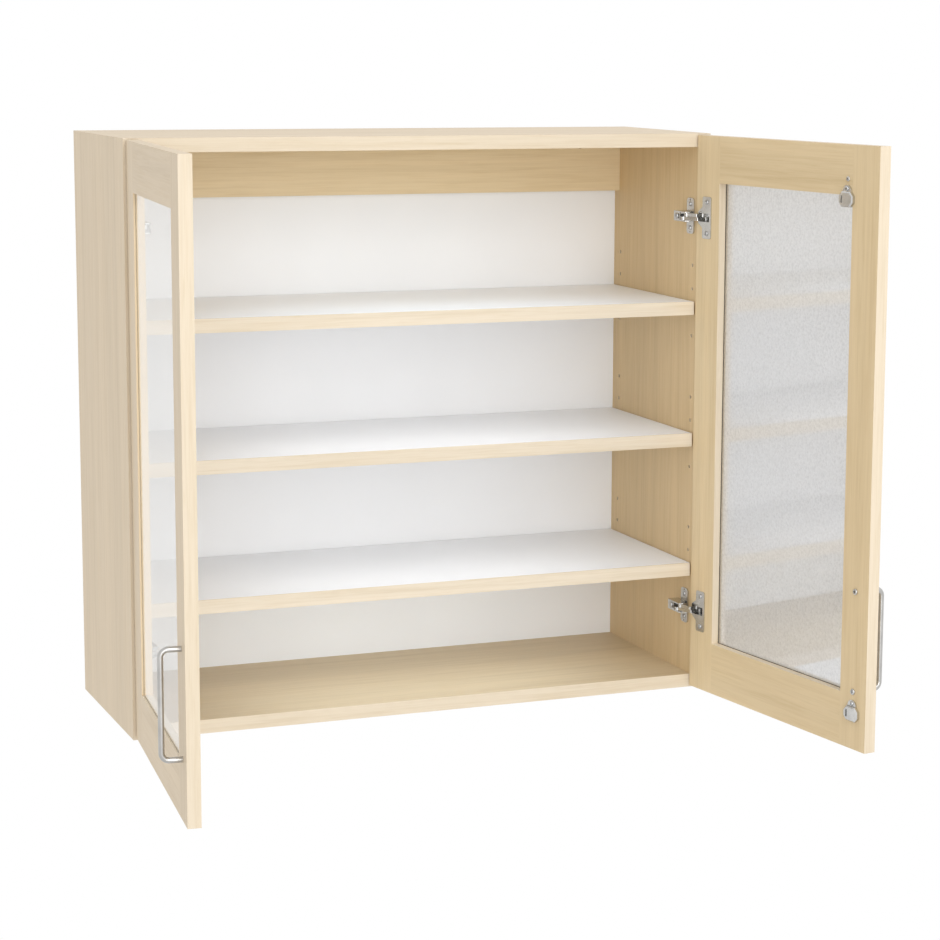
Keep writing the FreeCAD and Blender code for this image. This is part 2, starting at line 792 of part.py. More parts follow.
def door_rail(name, hand, place, level, width, groove_level, tongue_level, extra_tools):
    """Rail between the stiles: grooved for the glass, with a tongue at each end for the stile grooves."""
    length = f"{DOOR_WIDTH} - 2 * stile_width"
    board = slab(f"{name}_board", ("stile_width", "0", level), (length, "door_thickness", width), hand)
    reach = "groove_depth - groove_end_room"
    tongue = slab(
        f"{name}_tongue",
        (f"stile_width - ({reach})", GROOVE_START, tongue_level),
        (f"{length} + 2 * ({reach})", GROOVE_WIDTH, f"{width} - groove_depth"),
        hand,
    )
    body = joined(f"{name}_body", [board, tongue])
    groove = slab(f"{name}_groove", ("stile_width", GROOVE_START, groove_level),
                  (length, GROOVE_WIDTH, "groove_depth"), hand)
    node(name, cut(name, body, [groove] + extra_tools), place)


def top_rail(side, hand, place):
    name = f"{side}_top_rail"
    level = f"{DOOR_HEIGHT} - top_rail_width"
    along, height = TOP_CATCH[side]
    start = (along, "0", f"{height} + top_screw_rise")
    radius = "wood_screw_radius + wood_screw_fit"
    hole = rod(f"{name}_screw_hole", radius, "wood_screw_grip + wood_screw_fit", start, "y", hand)
    holes = [hole, catch_screw_hole(name, TOP_CATCH[side], hand)]
    door_rail(name, hand, place, level, "top_rail_width", level, f"{level} + groove_depth", holes)


def bottom_rail(side, hand, place):
    name = f"{side}_bottom_rail"
    holes = [catch_screw_hole(name, BOTTOM_CATCH[side], hand)] if side == "left" else []
    door_rail(name, hand, place, "0", "bottom_rail_width", "bottom_rail_width - groove_depth", "0", holes)


def glazing(side, hand, place):
    """Glass in the grooves and the gasket that shows as a thin line on its inner side."""
    reach = "groove_depth - groove_end_room"
    outer_start = f"stile_width - ({reach})"
    outer_level = f"bottom_rail_width - ({reach})"
    outer_width = f"{DOOR_WIDTH} - 2 * stile_width + 2 * ({reach})"
    outer_height = f"{DOOR_HEIGHT} - top_rail_width - bottom_rail_width + 2 * ({reach})"
    glass = slab(f"{side}_glass", (outer_start, "glass_setback", outer_level),
                 (outer_width, "glass_thickness", outer_height), hand)
    node(f"{side}_glass", group(f"{side}_glass_pane", [glass]), place)
    name = f"{side}_gasket"
    ring = slab(f"{name}_ring", (outer_start, GROOVE_START, outer_level),
                (outer_width, "gasket_thickness", outer_height), hand)
    window = slab(
        f"{name}_window",
        ("stile_width + gasket_sight", GROOVE_START, "bottom_rail_width + gasket_sight"),
        (
            f"{DOOR_WIDTH} - 2 * stile_width - 2 * gasket_sight",
            "gasket_thickness",
            f"{DOOR_HEIGHT} - top_rail_width - bottom_rail_width - 2 * gasket_sight",
        ),
        hand,
    )
    node(name, cut(name, ring, [window]), place)


def handle_path(body, name, along):
    """Middle line of the rod: leg, bend, bar, bend and leg, in the plane of the handle."""
    low, high = handle_heights()
    reach = "door_thickness + handle_projection"
    bend_start = f"{reach} - handle_bend_radius"
    bar_low = f"{low} + handle_bend_radius"
    bar_high = f"{high} - handle_bend_radius"
    runs = [
        (("door_thickness", low), (bend_start, low)),
        ((reach, bar_low), (reach, bar_high)),
        ((bend_start, high), ("door_thickness", high)),
    ]
    bends = [((bend_start, bar_low), -math.pi / 2), ((bend_start, bar_high), 0)]
    sketch = sketch_on(body, name, "YZ_Plane", along)
    for index, ends in enumerate(runs):
        start, end = [Vector(number(out), number(rise), 0) for out, rise in ends]
        sketch.addGeometry(Part.LineSegment(start, end), False)
        for which, (out, rise) in zip((START_INDEX, END_INDEX), ends):
            hold(sketch, "DistanceX", index, which, out)
            hold(sketch, "DistanceY", index, which, rise)
    for index, ((out, rise), first) in enumerate(bends):
        circle = Part.Circle(Vector(number(out), number(rise), 0), UP, number("handle_bend_radius"))
        bend = sketch.addGeometry(Part.ArcOfCircle(circle, first, first + math.pi / 2), False)
        sketch.addConstraint(Sketcher.Constraint("Coincident", index, END_INDEX, bend, START_INDEX))
        sketch.addConstraint(Sketcher.Constraint("Coincident", bend, END_INDEX, index + 1, START_INDEX))
        hold_radius(sketch, bend, "handle_bend_radius")
    return sketch


def handle(side, hand, place):
    """D handle: round rod swept along its path, with a bore in each leg."""
    name = f"{side}_handle"
    low = handle_heights()[0]
    along = f"{hand} * ({HANDLE_ALONG})"
    body = doc.addObject("PartDesign::Body", f"{name}_rod")
    section = sketch_on(body, f"{name}_section", "XZ_Plane", "-door_thickness")
    circle = Part.Circle(Vector(number(along), number(low), 0), UP, number("handle_rod_radius"))
    section.addGeometry(circle, False)
    hold(section, "DistanceX", 0, CENTRE_INDEX, along)
    hold(section, "DistanceY", 0, CENTRE_INDEX, low)
    hold_radius(section, 0, "handle_rod_radius")
    path = handle_path(body, f"{name}_path", along)
    doc.recompute()
    sweep = body.newObject("PartDesign::AdditivePipe", f"{name}_sweep")
    sweep.Profile = section
    sweep.Spine = (path, [f"Edge{index}" for index in range(1, len(path.Shape.Edges) + 1)])
    bores = []
    for index, height in enumerate(handle_heights()):
        spot = (HANDLE_ALONG, "door_thickness", height)
        bores.append(rod(f"{name}_bore_{index}", "handle_screw_radius", "handle_screw_grip", spot, "y", hand))
    node(name, cut(name, body, bores), place)


def handle_screws(side, hand, place):
    pieces = []
    for index, height in enumerate(handle_heights()):
        start = (HANDLE_ALONG, "0", height)
        sizes = ("handle_screw_radius", "handle_head_radius", "handle_head")
        grip = "door_thickness + handle_screw_grip"
        pieces.append(screw(f"{side}_handle_screw_{index}", start, 1, *sizes, grip, "y", hand))
    node(f"{side}_handle_screws", group(f"{side}_handle_screws", pieces), place)


def door_plate_outline(height, hand):
    """Upright plate with a flare at mid height that covers the housing as far as the hinge edge."""
    edge = "housing_edge - flange_rim"
    half = "housing_half_height + flange_rim"
    upper = [
        ("flange_edge + flange_width", "flange_height / 2"),
        ("flange_edge", "flange_height / 2"),
        ("flange_edge", "flare_root_half"),
        (edge, half),
    ]
    lower = [(along, f"-({rise})") for along, rise in reversed(upper)]
    return mirrored([(along, f"{height} + {rise}") for along, rise in upper + lower], hand)


def housing_outline(height, hand, wall):
    """Section of the housing, drawn in by a wall."""
    near = f"housing_edge + {wall}"
    far = f"housing_edge + housing_length - {wall}"
    half = f"housing_half_height - {wall}"
    corners = [(near, f"-({half})"), (near, half), (far, half), (far, f"-({half})")]
    return mirrored([(along, f"{height} + {rise}") for along, rise in corners], hand)


def hinge_cup(side, which, hand, place):
    """Narrow housing let into the stile under the door plate, with a pin for each link."""
    name = f"{side}_{which}_hinge_cup"
    height = hinge_heights()[which]
    body = doc.addObject("PartDesign::Body", f"{name}_body")
    plate = padded(body, outline(body, f"{name}_plate", door_plate_outline(height, hand)), "flange_thickness")
    dressed(body, "Fillet", plate, straight_edges(plate.Shape, "y"), Radius="flange_corner_radius")
    housing = doc.addObject("PartDesign::Body", f"{name}_housing")
    section = outline(housing, f"{name}_section", housing_outline(height, hand, "0"))
    block = padded(housing, section, "cup_depth", backwards=True)
    dressed(housing, "Fillet", block, straight_edges(block.Shape, "y"), Radius="housing_corner_radius")
    hollow = doc.addObject("PartDesign::Body", f"{name}_hollow")
    room = outline(hollow, f"{name}_room", housing_outline(height, hand, "cup_wall"), "flange_thickness")
    core = padded(hollow, room, "flange_thickness + cup_depth - cup_wall", backwards=True)
    inner_radius = "housing_corner_radius - cup_wall"
    dressed(hollow, "Fillet", core, straight_edges(core.Shape, "y"), Radius=inner_radius)
    tools = [hollow]
    for sign in (-1, 1):
        spot = (CUP_SCREW_ALONG, "-flange_thickness", f"{height} + {sign} * cup_screw_spacing / 2")
        radius = "wood_screw_radius + wood_screw_fit"
        tools.append(rod(f"{name}_screw_hole_{sign + 1}", radius, "flange_thickness", spot, "y", hand))
    reach = "housing_half_height - cup_wall / 2"
    outer_place = ("cup_pin_edge", "cup_pin_depth", height)
    inner_place = ("inner_cup_pin_edge", "inner_cup_pin_depth", f"{height} - ({reach})")
    outer_pin = rod(f"{name}_outer_pin", "hinge_pin_radius", reach, outer_place, "z", hand)
    inner_pin = rod(f"{name}_inner_pin", "hinge_pin_radius", reach, inner_place, "z", hand)
    shell = cut(f"{name}_shell", joined(f"{name}_whole", [body, housing]), tools)
    node(name, joined(name, [shell, outer_pin, inner_pin]), place)


def catch_outline(along, height):
    """Eight corners of the catch's plate: a rectangle with its corners cut off."""
    out = "catch_width / 2"
    up = "catch_height / 2"
    short_out = f"({out} - catch_corner_cut)"
    short_up = f"({up} - catch_corner_cut)"
    corners = []
    for across, rise in ((1, 1), (-1, 1), (-1, -1), (1, -1)):
        upright = (f"{along} + {across} * {out}", f"{height} + {rise} * {short_up}")
        level = (f"{along} + {across} * {short_out}", f"{height} + {rise} * {up}")
        corners += [upright, level] if across == rise else [level, upright]
    return corners


def catch_slot(along, height):
    near = f"{along} - catch_slot_offset - catch_slot_width / 2"
    far = f"{near} + catch_slot_width"
    low = f"{height} - catch_slot_height / 2"
    high = f"{low} + catch_slot_height"
    return [(near, low), (near, high), (far, high), (far, low)]


def catch(name, hand, place, spot):
    """Plate with a chamfered face and a slot, on a round tab that takes its screw."""
    along, height = spot
    body = doc.addObject("PartDesign::Body", f"{name}_body")
    plate_outline = outline(body, f"{name}_plate", mirrored(catch_outline(along, height), hand))
    plate = padded(body, plate_outline, "catch_thickness")
    face = plate.Shape.BoundBox.YMin
    edges = enumerate(plate.Shape.Edges, start=1)
    rim = [index for index, edge in edges if edge.BoundBox.YMax - face < TOLERANCE]
    dressed(body, "Chamfer", plate, rim, Size="catch_chamfer")
    slot = outline(body, f"{name}_slot", mirrored(catch_slot(along, height), hand), "catch_thickness")
    pocketed(body, slot, "catch_slot_depth")
    tab_place = (along, "-catch_tab_thickness", f"{height} + catch_tab_rise")
    hole_place = (along, "-catch_tab_thickness", f"{height} + catch_screw_rise")
    tab = rod(f"{name}_tab", "catch_tab_radius", "catch_tab_thickness", tab_place, "y", hand)
    hole_radius = "wood_screw_radius + wood_screw_fit"
    hole = rod(f"{name}_hole", hole_radius, "catch_tab_thickness", hole_place, "y", hand)
    node(name, cut(name, joined(f"{name}_whole", [body, tab]), [hole]), place)


def door_wood_screws(side, hand, place):
    """Screws of the two hinge cups and of the two catches, and the one above the upper catch."""
    sizes = ("wood_screw_radius", "wood_screw_head_radius", "wood_screw_head")
    pieces = []
    for which, height in hinge_heights().items():
        for sign in (-1, 1):
            start = (CUP_SCREW_ALONG, "-flange_thickness", f"{height} + {sign} * cup_screw_spacing / 2")
            label = f"{side}_cup_screw_{which}_{sign + 1}"
            pieces.append(screw(label, start, 1, *sizes, "wood_screw_grip + flange_thickness", "y", hand))
    for label, (along, height) in (("top", TOP_CATCH[side]), ("bottom", BOTTOM_CATCH[side])):
        start = (along, "-catch_tab_thickness", f"{height} + catch_screw_rise")
        grip = "catch_screw_grip + catch_tab_thickness"
        pieces.append(screw(f"{side}_{label}_catch_screw", start, 1, *sizes, grip, "y", hand))
    along, height = TOP_CATCH[side]
    start = (along, "0", f"{height} + top_screw_rise")
    pieces.append(screw(f"{side}_top_screw", start, 1, *sizes, "wood_screw_grip", "y", hand))
    node(f"{side}_door_screws", group(f"{side}_door_screws", pieces), place)


# Build
for side, hand in SIDES.items():
    side_panel(side, hand)
cross_panel("top_panel", "screw_drop - board", "screw_drop - board", dowel_levels()[1])
cross_panel("bottom_panel", BOTTOM, f"{BOTTOM} + board - back_rebate", dowel_levels()[0])
dowels()
back_panel()
hanging_rail()
for which, step in SHELVES.items():
    shelf(which, step)
shelf_pins()
for side, hand in SIDES.items():
    opening = opening_of(side)
    for which, level in hinge_level_values().items():
        frame = hinge_frame(hand, level)
        mounting_plate(f"{side}_{which}_hinge_plate", hand, frame)
        hinge_arm(f"{side}_{which}_hinge_arm", hand, frame)
        outer_link(f"{side}_{which}_outer_link", hand, frame.multiply(outer_link_motion(hand, opening)))
        inner_link(f"{side}_{which}_inner_link", hand, frame.multiply(inner_link_motion(hand, opening)))
    place = door_place(side, hand)
    hinge_stile(side, hand, place)
    handle_stile(side, hand, place)
    top_rail(side, hand, place)
    bottom_rail(side, hand, place)
    glazing(side, hand, place)
    handle(side, hand, place)
    handle_screws(side, hand, place)
    for which in hinge_heights():
        hinge_cup(side, which, hand, place)
    catch(f"{side}_top_catch", hand, place, TOP_CATCH[side])
    catch(f"{side}_bottom_catch", hand, place, BOTTOM_CATCH[side])
    door_wood_screws(side, hand, place)
hinge_screws()
doc.recompute()

# Every object must have built, and every sub-part must be sound
for obj in doc.Objects:
    if "Invalid" in obj.State or "Error" in obj.State:
        raise RuntimeError(f"{obj.Label} did not build: {obj.State}")
os.makedirs("parts", exist_ok=True)
for name, obj in nodes.items():
    if obj.Shape.isNull() or not obj.Shape.isValid():
        raise RuntimeError(f"{name} has no sound shape")
    obj.Shape.exportStep(f"parts/{name}.step")
print(f"{len(nodes)} sub-parts written")
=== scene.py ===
import math

import bmesh
import bpy
from mathutils import Matrix, Vector


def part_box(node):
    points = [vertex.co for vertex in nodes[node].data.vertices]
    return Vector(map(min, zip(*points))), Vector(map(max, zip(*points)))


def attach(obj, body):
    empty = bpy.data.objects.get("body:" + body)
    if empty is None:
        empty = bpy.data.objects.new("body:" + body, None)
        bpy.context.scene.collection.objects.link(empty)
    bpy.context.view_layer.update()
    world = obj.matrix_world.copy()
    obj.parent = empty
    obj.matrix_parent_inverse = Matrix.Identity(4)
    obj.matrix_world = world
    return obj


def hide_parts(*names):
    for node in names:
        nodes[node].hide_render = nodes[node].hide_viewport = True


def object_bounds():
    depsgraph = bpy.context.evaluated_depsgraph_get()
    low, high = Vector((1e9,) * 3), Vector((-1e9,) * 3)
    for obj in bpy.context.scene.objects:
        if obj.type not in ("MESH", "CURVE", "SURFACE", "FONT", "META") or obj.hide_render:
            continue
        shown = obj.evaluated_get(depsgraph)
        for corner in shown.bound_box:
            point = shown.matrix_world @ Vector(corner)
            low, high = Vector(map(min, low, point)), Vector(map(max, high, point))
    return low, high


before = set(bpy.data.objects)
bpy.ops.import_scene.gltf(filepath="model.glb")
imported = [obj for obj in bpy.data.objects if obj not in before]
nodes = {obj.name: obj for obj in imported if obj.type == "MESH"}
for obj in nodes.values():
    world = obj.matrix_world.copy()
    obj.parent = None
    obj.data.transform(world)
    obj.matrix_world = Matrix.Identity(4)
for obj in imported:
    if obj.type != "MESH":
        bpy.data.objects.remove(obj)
cad_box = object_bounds()
scene = bpy.context.scene
scene.view_settings.view_transform = "Standard"

DOOR_OPEN = {"left": 95.4, "right": 97.7}
INWARDS = {"left": 1.0, "right": -1.0}
UP = Vector((0.0, 0.0, 1.0))
EVEN = (1.0, 1.0, 1.0)
WHITE = (1.0, 1.0, 1.0, 1.0)

# Sockets of the colour mix node, which share their names with those of its other data types
MIX_FACTOR = 0
MIX_FIRST = 6
MIX_SECOND = 7
MIX_RESULT = 2

# Range of the cosine between a face and a direction over which the face begins to count as facing it
FACING_START = 0.4
FACING_END = 0.8


# Node helpers
def new_material(name):
    material = bpy.data.materials.new(name)
    material.use_nodes = True
    tree = material.node_tree
    shader = tree.nodes["Principled BSDF"]
    return material, tree, shader


def add(tree, kind, inputs=None, **settings):
    made = tree.nodes.new(kind)
    for key, setting in settings.items():
        setattr(made, key, setting)
    for key, setting in (inputs or {}).items():
        made.inputs[key].default_value = setting
    return made


def wire(tree, start, end):
    tree.links.new(start, end)


def coordinates(tree, scale=EVEN, turn=0.0):
    """Place in the part's frame, turned about the vertical and then stretched along the grain."""
    place = add(tree, "ShaderNodeTexCoord")
    turned = add(tree, "ShaderNodeMapping", {"Rotation": (0.0, 0.0, turn)})
    stretched = add(tree, "ShaderNodeMapping", {"Scale": scale})
    wire(tree, place.outputs["Object"], turned.inputs["Vector"])
    wire(tree, turned.outputs["Vector"], stretched.inputs["Vector"])
    return stretched.outputs["Vector"]


def noise(tree, vector, scale, detail=4.0, roughness=0.55, distortion=0.0):
    made = add(tree, "ShaderNodeTexNoise", {
        "Scale": scale, "Detail": detail, "Roughness": roughness, "Distortion": distortion})
    wire(tree, vector, made.inputs["Vector"])
    return made.outputs["Fac"]


def ramp(tree, factor, stops):
    made = add(tree, "ShaderNodeValToRGB")
    elements = made.color_ramp.elements
    while len(elements) < len(stops):
        elements.new(0.5)
    for element, (position, colour) in zip(elements, stops):
        element.position = position
        element.color = (*colour, 1.0)
    wire(tree, factor, made.inputs["Fac"])
    return made.outputs["Color"]


def multiplied(tree, tone, tint):
    made = add(tree, "ShaderNodeMix", data_type="RGBA", blend_type="MULTIPLY")
    made.inputs[MIX_FACTOR].default_value = 1.0
    wire(tree, tone, made.inputs[MIX_FIRST])
    wire(tree, tint, made.inputs[MIX_SECOND])
    return made.outputs[MIX_RESULT]


def span(tree, factor, low, high):
    """Factor from 0 to 1 spread over a range of values."""
    made = add(tree, "ShaderNodeMapRange", {"To Min": low, "To Max": high})
    wire(tree, factor, made.inputs["Value"])
    return made.outputs["Result"]


def bumped(tree, shader, height, strength, distance):
    made = add(tree, "ShaderNodeBump", {"Strength": strength, "Distance": distance})
    wire(tree, height, made.inputs["Height"])
    wire(tree, made.outputs["Normal"], shader.inputs["Normal"])


def facing(tree, direction):
    """Mask that is 1 on faces which look along one direction of the part's frame."""
    place = add(tree, "ShaderNodeTexCoord")
    made = add(tree, "ShaderNodeVectorMath", {1: direction}, operation="DOT_PRODUCT")
    wire(tree, place.outputs["Normal"], made.inputs[0])
    step = add(tree, "ShaderNodeMapRange", {"From Min": FACING_START, "From Max": FACING_END})
    wire(tree, made.outputs["Value"], step.inputs["Value"])
    return step.outputs["Result"]


def blend_surface(tree, factor, first, second):
    """Surface with the first shader where the factor is 0 and the second one where it is 1."""
    made = add(tree, "ShaderNodeMixShader")
    wire(tree, factor, made.inputs["Fac"])
    wire(tree, first, made.inputs[1])
    wire(tree, second, made.inputs[2])
    wire(tree, made.outputs["Shader"], tree.nodes["Material Output"].inputs["Surface"])


def shaded(colour, factor):
    return tuple(channel * factor for channel in colour)


# Materials
PALE_WOOD = (0.75, 0.62, 0.45)
RIPE_WOOD = (0.79, 0.64, 0.41)
DOWEL_WOOD = (0.66, 0.48, 0.30)
# Painted shade: darker, warmer tone on the doors' inner faces, where less light falls
PAINTED_DOOR_SHADE = (0.947, 0.903, 0.767)
# Painted shade: darker, warmer tone on the side panels' inner faces, for the shade inside the cabinet
PAINTED_SIDE_SHADE = (0.92, 0.83, 0.65)
# Painted shade: darker, warmer tone on the bottom panel's top, for the shade at the foot of the cabinet
PAINTED_BOTTOM_SHADE = (0.87, 0.835, 0.75)
ABOVE = (0.0, 0.0, 1.0)
FRONT = (0.0, -1.0, 0.0)
# Paler, cooler faces that look to the front: partly the edges' own paler tone, partly painted light from the
# lamps in front
FRONT_TONE_AND_PAINTED_LIGHT = (1.0, 1.04, 1.10)
# Paler, cooler front faces of the shelf edges: partly their own tone, partly painted lamp light
SHELF_EDGE_TONE_AND_PAINTED_LIGHT = (1.03, 1.09, 1.19)
# Painted light: brighter, paler reveals beside the panes, which lie in shade in their recesses; warmer on
# the left door
PAINTED_REVEAL_LIGHT = (1.14, 1.18, 1.24)
PAINTED_HINGE_REVEAL_LIGHT = {"left": (1.18, 1.13, 1.03), "right": PAINTED_REVEAL_LIGHT}
STREAK_STOPS = ((0.32, (0.93, 0.91, 0.87)), (0.50, EVEN), (0.70, (1.035, 1.035, 1.04)))
LINE_STOPS = ((0.36, (0.955, 0.94, 0.91)), (0.55, EVEN))
FLECK_STOPS = ((0.60, EVEN), (0.76, (0.95, 0.93, 0.89)))
GRAIN_SCALES = {"x": (0.03, 1.0, 1.0), "z": (1.0, 1.0, 0.03)}


def wood(name, grain, turn=0.0, colour=PALE_WOOD, painted_light_shade_and_edge_tone=()):
    """Pale maple: broad soft bands, streaks, fine lines and short flecks along the grain."""
    material, tree, shader = new_material(name)
    vector = coordinates(tree, GRAIN_SCALES[grain], turn)
    bands = noise(tree, vector, scale=16.0, detail=2.0, roughness=0.5, distortion=0.8)
    streaks = noise(tree, vector, scale=85.0, detail=5.0, roughness=0.68, distortion=0.5)
    lines = noise(tree, vector, scale=330.0, detail=3.0, roughness=0.6, distortion=0.2)
    flecks = noise(tree, vector, scale=700.0, detail=2.0, roughness=0.5)
    tone = ramp(tree, bands, [(0.30, shaded(colour, 0.965)), (0.70, shaded(colour, 1.035))])
    for mask, stops in ((streaks, STREAK_STOPS), (lines, LINE_STOPS), (flecks, FLECK_STOPS)):
        tone = multiplied(tree, tone, ramp(tree, mask, stops))
    # Painted shade and painted light by the way a face looks, and on front faces also their own paler tone
    for direction, tint in painted_light_shade_and_edge_tone:
        tone = multiplied(tree, tone, ramp(tree, facing(tree, direction), [(0.0, EVEN), (1.0, tint)]))
    wire(tree, tone, shader.inputs["Base Color"])
    wire(tree, span(tree, streaks, low=0.40, high=0.56), shader.inputs["Roughness"])
    shader.inputs["Specular IOR Level"].default_value = 0.32
    bumped(tree, shader, lines, strength=0.06, distance=0.0004)
    return material


def white_board(name, colour):
    """White faced board with a fine pearl texture and slight tone variation."""
    material, tree, shader = new_material(name)
    vector = coordinates(tree)
    cloud = noise(tree, vector, scale=6.0, detail=2.0)
    pearl = noise(tree, vector, scale=900.0, detail=3.0)
    wire(tree, ramp(tree, cloud, [(0.3, shaded(colour, 0.975)), (0.7, colour)]), shader.inputs["Base Color"])
    wire(tree, span(tree, pearl, low=0.42, high=0.58), shader.inputs["Roughness"])
    shader.inputs["Specular IOR Level"].default_value = 0.3
    bumped(tree, shader, pearl, strength=0.06, distance=0.0002)
    return material


def plated(name, colour, roughness, streak_axis):
    """Plated or brushed steel: fine drawn lines along one axis and a little cloudiness."""
    material, tree, shader = new_material(name)
    lines = noise(tree, coordinates(tree, GRAIN_SCALES[streak_axis]), scale=2600.0, detail=3.0)
    cloud = noise(tree, coordinates(tree), scale=60.0, detail=3.0)
    wire(tree, ramp(tree, cloud, [(0.3, shaded(colour, 0.82)), (0.7, colour)]), shader.inputs["Base Color"])
    wire(tree, span(tree, lines, low=roughness * 0.75, high=roughness * 1.3), shader.inputs["Roughness"])
    shader.inputs["Metallic"].default_value = 1.0
    bumped(tree, shader, lines, strength=0.08, distance=0.0001)
    return material


def rubber(name, colour):
    """Soft seal with a fine grit."""
    material, tree, shader = new_material(name)
    grit = noise(tree, coordinates(tree), scale=700.0)
    tone = ramp(tree, grit, [(0.3, shaded(colour, 0.75)), (0.7, shaded(colour, 1.25))])
    wire(tree, tone, shader.inputs["Base Color"])
    wire(tree, span(tree, grit, low=0.6, high=0.8), shader.inputs["Roughness"])
    bumped(tree, shader, grit, strength=0.15, distance=0.0002)
    return material


def let_lamps_through(tree, shader, share):
    """Each face of a pane passes this share of a lamp's light, and glass is what is seen."""
    path = add(tree, "ShaderNodeLightPath")
    passed = add(tree, "ShaderNodeBsdfTransparent", {"Color": (share, share, share, 1.0)})
    blend_surface(tree, path.outputs["Is Shadow Ray"], shader.outputs["BSDF"], passed.outputs["BSDF"])


def rolled(name):
    """Pane with a fine rolled grain, which greys what is behind it, under a glossy face."""
    material, tree, shader = new_material(name)
    grain = noise(tree, coordinates(tree), scale=260.0, detail=3.0, roughness=0.75)
    stops = [(0.34, shaded(EVEN, 0.57)), (0.50, shaded(EVEN, 0.77)), (0.66, shaded(EVEN, 0.93))]
    wire(tree, ramp(tree, grain, stops), shader.inputs["Base Color"])
    shader.inputs["Transmission Weight"].default_value = 1.0
    shader.inputs["IOR"].default_value = 1.45
    wire(tree, span(tree, grain, low=0.25, high=0.40), shader.inputs["Roughness"])
    shader.inputs["Coat Weight"].default_value = 1.0
    shader.inputs["Coat Roughness"].default_value = 0.015
    shader.inputs["Coat IOR"].default_value = 3.0
    bumped(tree, shader, grain, strength=0.35, distance=0.0004)
    let_lamps_through(tree, shader, share=0.9)
    return material


def clear(name):
    """Clear pane with a trace of unevenness in its tone."""
    material, tree, shader = new_material(name)
    wave = noise(tree, coordinates(tree), scale=4.0, detail=2.0)
    tone = ramp(tree, wave, [(0.3, (0.905, 0.915, 0.915)), (0.7, (0.92, 0.925, 0.925))])
    wire(tree, tone, shader.inputs["Base Color"])
    shader.inputs["Transmission Weight"].default_value = 1.0
    shader.inputs["IOR"].default_value = 1.2
    shader.inputs["Roughness"].default_value = 0.0
    let_lamps_through(tree, shader, share=0.96)
    return material


def door_turn(side):
    """Turn that lays a door's plane back along the x axis."""
    angle = math.radians(180.0 - DOOR_OPEN[side])
    return -angle if side == "left" else angle


# Woods by node: the grain runs along each piece, and a tint goes on the faces that look one way: painted
# shade on inner faces and on the bottom panel's top, painted light on the reveals, and on front faces partly
# their own paler tone and partly painted lamp light
woods = {}
for side, sign in INWARDS.items():
    inwards = (sign, 0.0, 0.0)
    turn = door_turn(side)
    # Front faces: partly their own paler tone, partly painted lamp light
    front = (FRONT, FRONT_TONE_AND_PAINTED_LIGHT)
    # Painted shade on the door's inner faces
    face = (inwards, PAINTED_DOOR_SHADE)
    # Painted light on the reveals of the hinge stile and the bottom rail
    painted_hinge_reveal_light = (FRONT, PAINTED_HINGE_REVEAL_LIGHT[side])
    painted_rail_reveal_light = (ABOVE, PAINTED_REVEAL_LIGHT)
    # Painted shade on the side panel's inner face, and front faces paler partly by their own tone and partly
    # by painted lamp light
    woods[f"{side}_side_panel"] = wood(f"wood_{side}_side", "z", painted_light_shade_and_edge_tone=[(inwards, PAINTED_SIDE_SHADE), front])
    woods[f"{side}_hinge_stile"] = wood(f"wood_{side}_hinge_stile", "z", painted_light_shade_and_edge_tone=[face, painted_hinge_reveal_light])
    woods[f"{side}_handle_stile"] = wood(f"wood_{side}_handle_stile", "z", painted_light_shade_and_edge_tone=[face, front])
    woods[f"{side}_top_rail"] = wood(f"wood_{side}_top_rail", "x", turn, painted_light_shade_and_edge_tone=[face])
    woods[f"{side}_bottom_rail"] = wood(f"wood_{side}_bottom_rail", "x", turn, painted_light_shade_and_edge_tone=[face, painted_rail_reveal_light])
# Front faces of the top and bottom panels: partly their own paler tone, partly painted lamp light
woods["top_panel"] = wood("wood_top", "x", painted_light_shade_and_edge_tone=[(FRONT, FRONT_TONE_AND_PAINTED_LIGHT)])
# Painted shade on the bottom panel's top
woods["bottom_panel"] = wood("wood_bottom", "x", painted_light_shade_and_edge_tone=[(ABOVE, PAINTED_BOTTOM_SHADE), (FRONT, FRONT_TONE_AND_PAINTED_LIGHT)])
woods["hanging_rail"] = wood("wood_inside", "x", colour=RIPE_WOOD)
woods["carcass_dowels"] = wood("raw_dowel", "x", colour=DOWEL_WOOD)

# Front faces of the shelf edges: partly their own paler tone, partly painted lamp light
wood_edge = wood("wood_edge", "x", painted_light_shade_and_edge_tone=[(FRONT, SHELF_EDGE_TONE_AND_PAINTED_LIGHT)])
white_face = white_board("white_face", (0.925, 0.93, 0.94))
nickel = plated("nickel", (0.66, 0.655, 0.64), roughness=0.24, streak_axis="z")
handle_steel = plated("handle_steel", (0.56, 0.55, 0.53), roughness=0.30, streak_axis="z")
zinc = plated("zinc", (0.60, 0.60, 0.60), roughness=0.28, streak_axis="x")
seals = {"left": rubber("pale_seal", (0.60, 0.49, 0.35)), "right": rubber("brown_seal", (0.11, 0.09, 0.065))}
glasses = {"left": clear("clear_glass"), "right": rolled("rolled_glass")}


def material_of(name):
    side = name.split("_")[0]
    if name in woods:
        return woods[name]
    if name.endswith("shelf_edge"):
        return wood_edge
    if name == "back_panel" or name.endswith("shelf"):
        return white_face
    if name.endswith("glass"):
        return glasses[side]
    if name.endswith("gasket"):
        return seals[side]
    if name.endswith("handle"):
        return handle_steel
    if name.endswith(("screws", "pins")):
        return zinc
    return nickel


BOARDS = ("panel", "rail", "stile", "shelf", "edge")
BOARD_BEVEL = 0.0006
PRESSINGS = ("hinge_plate", "hinge_arm", "hinge_cup", "catch")
METAL_BEVEL = 0.0002
BEVEL_SEGMENTS = 2
BEVEL_ANGLE = math.radians(40.0)


